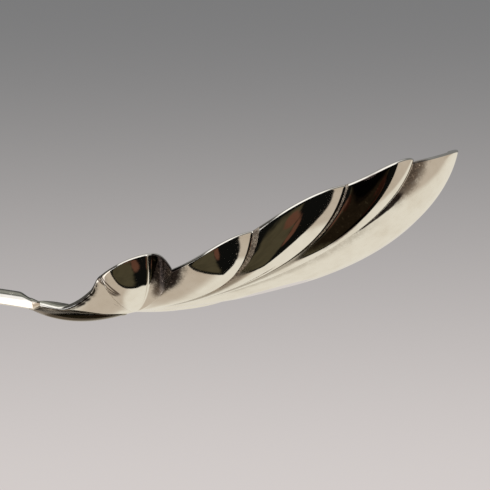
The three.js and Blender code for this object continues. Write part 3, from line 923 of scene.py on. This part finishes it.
def silver_finish(name, bright=SILVER, dull_and_painted_shade=SILVER_DULL, smooth=0.045, smudged=0.075, masks=()):
    """Polished silver with smudges, scratches, waves, and tarnish and painted shade where its masks
    are.
    """
    material = bpy.data.materials.new(name)
    start = new_tree(material)
    where = start.node("ShaderNodeTexCoord", output="Object")
    smudge = where.noise(SMUDGES, 3.0).step(*SMUDGE_STEP)
    scratches = where.stretched(LONG_SCRATCHES).noise(1.0).step(*LONG_STEP)
    scratches = scratches.most(where.stretched(CROSS_SCRATCHES).noise(1.0).step(*CROSS_STEP))
    speck = where.noise(SPECKS, 3.0, 0.6)
    cloud = where.noise(CLOUDS)
    dust = where.noise(DUST, 1.0).step(*DUST_STEP)
    dulled = smudge * SMUDGE_SHARE + cloud.step(*CLOUD_STEP) * (1 - SMUDGE_SHARE)
    colour = dulled.tint(bright, dull_and_painted_shade)
    rough = smudge * (smudged - smooth) + smooth
    rough = rough + scratches * SCRATCH_BLUR + dust * DUST_BLUR
    mottle = speck * 0.5 + cloud * 0.5
    ragged = (mottle - 0.5) * MASK_RAGGED
    worn = mottle.step(*WORN_STEP)
    stain = (speck * STAIN_SHARE + cloud * (1 - STAIN_SHARE)).step(*STAIN_STEP)
    for mask in masks:
        deep, light, gloss, low, high, wear = TARNISH_AND_PAINTED_SHADE[mask]
        found = start.node("ShaderNodeAttribute", {"attribute_name": mask}, output="Fac")
        found = (found * MASK_GAIN + ragged * found.step(*MASK_STEP)).step(low, high)
        found = found * (1 - worn * wear)
        colour = found.tint(colour, stain.tint(deep, light))
        rough = rough + found * (gloss - rough)
    height = where.noise(WAVES, 1.0) * WAVE_HEIGHT + scratches * SCRATCH_HEIGHT
    normal = start.node("ShaderNodeBump", None, {**BUMP, "Height": height})
    metal = {"Base Color": colour, "Metallic": 1.0, "Roughness": rough, "Normal": normal}
    shader = start.node("ShaderNodeBsdfPrincipled", None, metal)
    start.node("ShaderNodeOutputMaterial", None, {"Surface": shader})
    print(name, "uses", len(material.node_tree.nodes), "nodes")
    return material


# %% Finishes of the pieces
# Bright and dull colour of a drop and of solder, and their roughness where smooth and smudged
# the drop's dark colours are painted shade on silver
DROP_PAINTED_SHADE = (rgb(0.19, 0.165, 0.135), rgb(0.1, 0.085, 0.07), 0.16, 0.38)
SOLDER_FINISH = (rgb(0.92, 0.85, 0.77), rgb(0.8, 0.7, 0.62), 0.18, 0.3)

finishes = [
    silver_finish("bowl_silver", masks=TARNISH_AND_PAINTED_SHADE),
    silver_finish("handle_silver", masks=["dull_and_painted_shade"]),
    silver_finish("drop_silver", *DROP_PAINTED_SHADE),
    silver_finish("silver_solder", *SOLDER_FINISH, ["dull_and_painted_shade"]),
]
pieces = (bowl, handle, drop, neck_solder, heel_solder)
for piece, finish in zip(pieces, finishes + finishes[-1:]):
    piece.data.materials.append(finish)

# %% [markdown]
# ## The camera
#
# The photograph looks at the spoon from its side, a little from below and from the handle's side,
# and it is tilted so that the spoon climbs to the right. A long lens from a short way off gives the
# same perspective. The camera is moved until the heel point falls on its pixel in the photograph.

# %% Camera
PICTURE = 490  # pixels each way
VIEW_AZIMUTH, VIEW_ELEVATION, VIEW_ROLL = (math.radians(angle) for angle in (-6, -6, 15))
LENS = 200.0
SENSOR = 36.0
HEEL_DISTANCE = 318.0  # from the camera, along the view
HEEL_PIXEL = (135.0, 311.8)

level = np.array([math.cos(VIEW_AZIMUTH), math.sin(VIEW_AZIMUTH), 0.0])
front = np.cross(level, UPWARD)
view_back = front * math.cos(VIEW_ELEVATION) + UPWARD * math.sin(VIEW_ELEVATION)
upright = np.cross(view_back, level)
view_right = level * math.cos(VIEW_ROLL) - upright * math.sin(VIEW_ROLL)
view_up = level * math.sin(VIEW_ROLL) + upright * math.cos(VIEW_ROLL)
per_pixel = HEEL_DISTANCE * SENSOR / LENS / PICTURE
eye = HEEL + view_back * HEEL_DISTANCE
eye = eye - view_right * (HEEL_PIXEL[0] - PICTURE / 2) * per_pixel
eye = eye + view_up * (HEEL_PIXEL[1] - PICTURE / 2) * per_pixel

lens = bpy.data.cameras.new("photo_camera")
lens.lens = LENS
lens.sensor_width = SENSOR
lens.clip_start = 0.01
camera = add_object("photo_camera", lens)
axes = np.column_stack([view_right, view_up, view_back, eye * MM])
camera.matrix_world = Matrix(np.vstack([axes, (0, 0, 0, 1)]).tolist())
bpy.context.scene.camera = camera
print("camera at", np.round(eye, 1), "mm")

# %% [markdown]
# ## The room that the silver reflects
#
# A mirror has no look of its own: what is seen in it is the room. Pale paper lies below and behind
# the spoon and curves up at its right. The room in front is dark below, with an olive part and a
# warm brown patch, and has a window above. The ceiling is grey, and paler straight overhead. Lamps
# and cards could stand for all this, but the sharp borders on every lobe need straight edges in the
# right direction, so the world is painted by direction, fixed in space.

# %% Paper of the studio
PAPER = rgb(0.775, 0.735, 0.635)
PAPER_SHADED = rgb(0.525, 0.455, 0.37)
PAPER_RIGHT = (0.826, 0.507, 0.246)  # directions past this plane see it at the right
PAPER_BACK = (-0.7065, 0.7072, 0.0255)  # the same behind and below
PAPER_BORDER = (-0.012, 0.012)  # how softly both end
WOBBLE, WOBBLE_SCALE = 0.03, 7.0  # how uneven both borders are, and how finely
BACK_RIGHT, FRONT_RIGHT = (1.0, 0.5, 0.0), (1.0, -0.5, 0.0)
LIT_LEFT, LIT_BACK, LIT_FRONT = (-0.25, -0.02), (0.0, 0.25), (0.43, 0.6)  # borders of its lit part

world = bpy.data.worlds.new("studio")
bpy.context.scene.world = world
start = new_tree(world)
sight = start.node("ShaderNodeTexCoord", output="Generated")
east, north, height = (sight.toward(axis) for axis in Matrix.Identity(3))
wobble = (sight.noise(WOBBLE_SCALE) - 0.5) * WOBBLE
lit = east.step(*LIT_LEFT) * sight.toward(BACK_RIGHT).step(*LIT_BACK)
lit = lit * (1 - sight.toward(FRONT_RIGHT).step(*LIT_FRONT))
sheet = lit.tint(PAPER_SHADED, PAPER)
paper = sight.toward(PAPER_RIGHT).most(sight.toward(PAPER_BACK))
paper = (paper + wobble).step(*PAPER_BORDER)
print("nodes for the paper:", len(world.node_tree.nodes))

# %% Dark room
DARK_ROOM = rgb(0.0045, 0.0045, 0.004)
OLIVE_SHADE = rgb(0.062, 0.052, 0.029)
BROWN_SHADE = rgb(0.105, 0.046, 0.028)
RAGGED, RAGGED_SCALE = 0.12, 11.0  # how ragged its borders are, and how finely
OLIVE_LEFT, OLIVE_RIGHT = (-0.42, -0.34), (0.12, 0.17)  # borders of the olive part
OLIVE_TOP, OLIVE_BACK = (-0.42, -0.28), (-0.09, -0.04)
OLIVE_SCALE, OLIVE_CLOUDS, OLIVE_LEAST = 6.0, 0.9, 0.5  # clouds in it
PATCH_BORDER, PATCH_RAGGED = (0.4, 1.1), 5.0
# Brown patch in two parts: direction of the middle, its long way, half length and half width
BROWN_PATCHES = (
    ((0.19, -0.62, -0.76), (0.0, 0.78, -0.63), 0.3, 0.05),
    ((0.06, -0.85, -0.52), (0.58, 0.35, -0.73), 0.17, 0.1),
)

ragged = (sight.noise(RAGGED_SCALE, 3.0) - 0.5) * RAGGED
olive = (east + ragged).step(*OLIVE_LEFT) * (1 - (east + ragged * 0.5).step(*OLIVE_RIGHT))
olive = olive * (1 - (height + ragged).step(*OLIVE_TOP))
olive = olive * (1 - sight.toward(PAPER_BACK).step(*OLIVE_BACK))
clouds = sight.noise(OLIVE_SCALE, 3.0) * OLIVE_CLOUDS + OLIVE_LEAST
room = (olive * clouds).tint(DARK_ROOM, OLIVE_SHADE)


def patch(middle, lengthwise, half_length, half_width):
    """A ragged oval patch of the room round one direction."""
    along = (sight.toward(lengthwise) - float(np.dot(lengthwise, middle))) * (1 / half_length)
    across = sight.toward(tuple(np.cross(lengthwise, middle))) * (1 / half_width)
    return 1 - (along * along + across * across + ragged * PATCH_RAGGED).step(*PATCH_BORDER)


upper_part, lower_part = (patch(*part) for part in BROWN_PATCHES)
below = paper.tint(upper_part.most(lower_part).tint(room, BROWN_SHADE), sheet)
print("nodes with the dark room:", len(world.node_tree.nodes))

# %% Window and ceiling
CEILING = rgb(0.2, 0.2, 0.195)
CEILING_LEFT = rgb(0.07, 0.068, 0.062)
OVERHEAD = rgb(0.56, 0.555, 0.54)
WINDOW = rgb(1.15, 1.14, 1.1)
WINDOW_FRONT, WINDOW_LEFT, WINDOW_RIGHT = (0.0, -0.4), (-0.48, -0.34), (0.3, 0.45)
OVERHEAD_UP, OVERHEAD_LEFT = (0.68, 0.92), (-0.4, -0.15)
LEFT_BORDER, HORIZON = (-0.5, -0.2), (-0.02, 0.06)

window = north.step(*WINDOW_FRONT) * (1 - east.step(*WINDOW_RIGHT)) * east.step(*WINDOW_LEFT)
overhead = height.step(*OVERHEAD_UP) * east.step(*OVERHEAD_LEFT)
ceiling = overhead.tint(east.step(*LEFT_BORDER).tint(CEILING_LEFT, CEILING), OVERHEAD)
above = window.tint(ceiling, WINDOW)
around = height.step(*HORIZON).tint(below, above)
print("nodes of the whole room:", len(world.node_tree.nodes))

# %% [markdown]
# ## The backdrop
#
# The camera sees a plain grey backdrop, darker at the top, and so does the silver where it mirrors
# what is straight behind the spoon. The Light Path node tells rays from the camera and from a
# mirror apart from the rest, so the backdrop lights nothing else.

# %% Backdrop
BACKDROP_HIGH = rgb(0.195, 0.195, 0.197)
BACKDROP_LOW = rgb(0.66, 0.615, 0.6)
BACKDROP_FADE = (0.1, -0.11)  # from high to low, along the picture's upright
STRAIGHT_BEHIND = (0.97, 0.985)  # how near to the line of sight

backdrop = sight.toward(tuple(view_up)).step(*BACKDROP_FADE).tint(BACKDROP_HIGH, BACKDROP_LOW)
behind = sight.toward(tuple(-view_back)).step(*STRAIGHT_BEHIND)
camera_ray, glossy_ray, clear_ray = (
    start.node("ShaderNodeLightPath", output=f"Is {kind} Ray")
    for kind in ("Camera", "Glossy", "Transmission")
)
seen = camera_ray.most(behind * glossy_ray.most(clear_ray)).tint(around, backdrop)
light = start.node("ShaderNodeBackground", None, {"Color": seen, "Strength": 1.0})
start.node("ShaderNodeOutputWorld", None, {"Surface": light})
print("nodes of the world:", len(world.node_tree.nodes))

# %% [markdown]
# ## Table, lamp and card
#
# A pale table under the spoon catches its shadow. It can be seen only from above, because the
# photograph looks from below its level, and the silver looks through it to the paper. One large
# soft lamp overhead gives the shadow. The stem is nearly white below in the photograph, as silver
# is over a bright card, so a small white card lies under it.

# %% Table
TABLE_HALF = 2.0
TABLE_COLOUR = rgb(0.74, 0.72, 0.69)
TABLE_ROUGH, TABLE_GRAIN, GRAIN_SCALE = 0.6, 0.2, 60.0
mesh = bpy.data.meshes.new("table")
square = ((-1, -1), (1, -1), (1, 1), (-1, 1))
mesh.from_pydata([(x * TABLE_HALF, y * TABLE_HALF, 0) for x, y in square], [], [(0, 1, 2, 3)])
table = add_object("table", mesh)
material = bpy.data.materials.new("pale_table")
start = new_tree(material)
grain = start.node("ShaderNodeTexCoord", output="Object").noise(GRAIN_SCALE, 4.0)
matt = {"Base Color": TABLE_COLOUR, "Roughness": grain * TABLE_GRAIN + TABLE_ROUGH}
cloth = start.node("ShaderNodeBsdfPrincipled", None, matt)
under = start.node("ShaderNodeNewGeometry", output="Backfacing")
mirrored = start.node("ShaderNodeLightPath", output="Is Glossy Ray")
clear = start.node("ShaderNodeBsdfTransparent")
seen = start.node("ShaderNodeMixShader", None, {0: under.most(mirrored), 1: cloth, 2: clear})
start.node("ShaderNodeOutputMaterial", None, {"Surface": seen})
mesh.materials.append(material)
print("table half width in m:", TABLE_HALF)

# %% Lamp
LAMP_POWER, LAMP_SIZE = 2.0, 0.5
LAMP_AT = (-0.15, 0.1, 0.6)


def area_light(name, location, wide, deep, power, rotation):
    """A rectangular light that shines along its own -Z."""
    data = bpy.data.lights.new(name, "AREA")
    data.shape = "RECTANGLE"
    data.size, data.size_y, data.energy = wide, deep, power
    light = add_object(name, data)
    light.location = location
    light.rotation_euler = rotation
    light.visible_camera = False
    print(name, "of", round(power, 3), "W at", location)
    return light


tilt = (-math.atan2(LAMP_AT[1], LAMP_AT[2]), math.atan2(LAMP_AT[0], LAMP_AT[2]), 0)
lamp = area_light("soft_lamp", LAMP_AT, LAMP_SIZE, LAMP_SIZE, LAMP_POWER, tilt)
lamp.visible_glossy = False

# %% White card under the stem
CARD_AT = (-0.00275, -0.0675, -0.001)
CARD_WIDE, CARD_DEEP = 0.0345, 0.165
CARD_GLOW = 0.95  # brightness of the card as the silver sees it
FACE_UP = (math.pi, 0, 0)
card_power = CARD_GLOW * math.pi * CARD_WIDE * CARD_DEEP
area_light("white_card", CARD_AT, CARD_WIDE, CARD_DEEP, card_power, FACE_UP)
bpy.context.scene.view_settings.view_transform = "Standard"
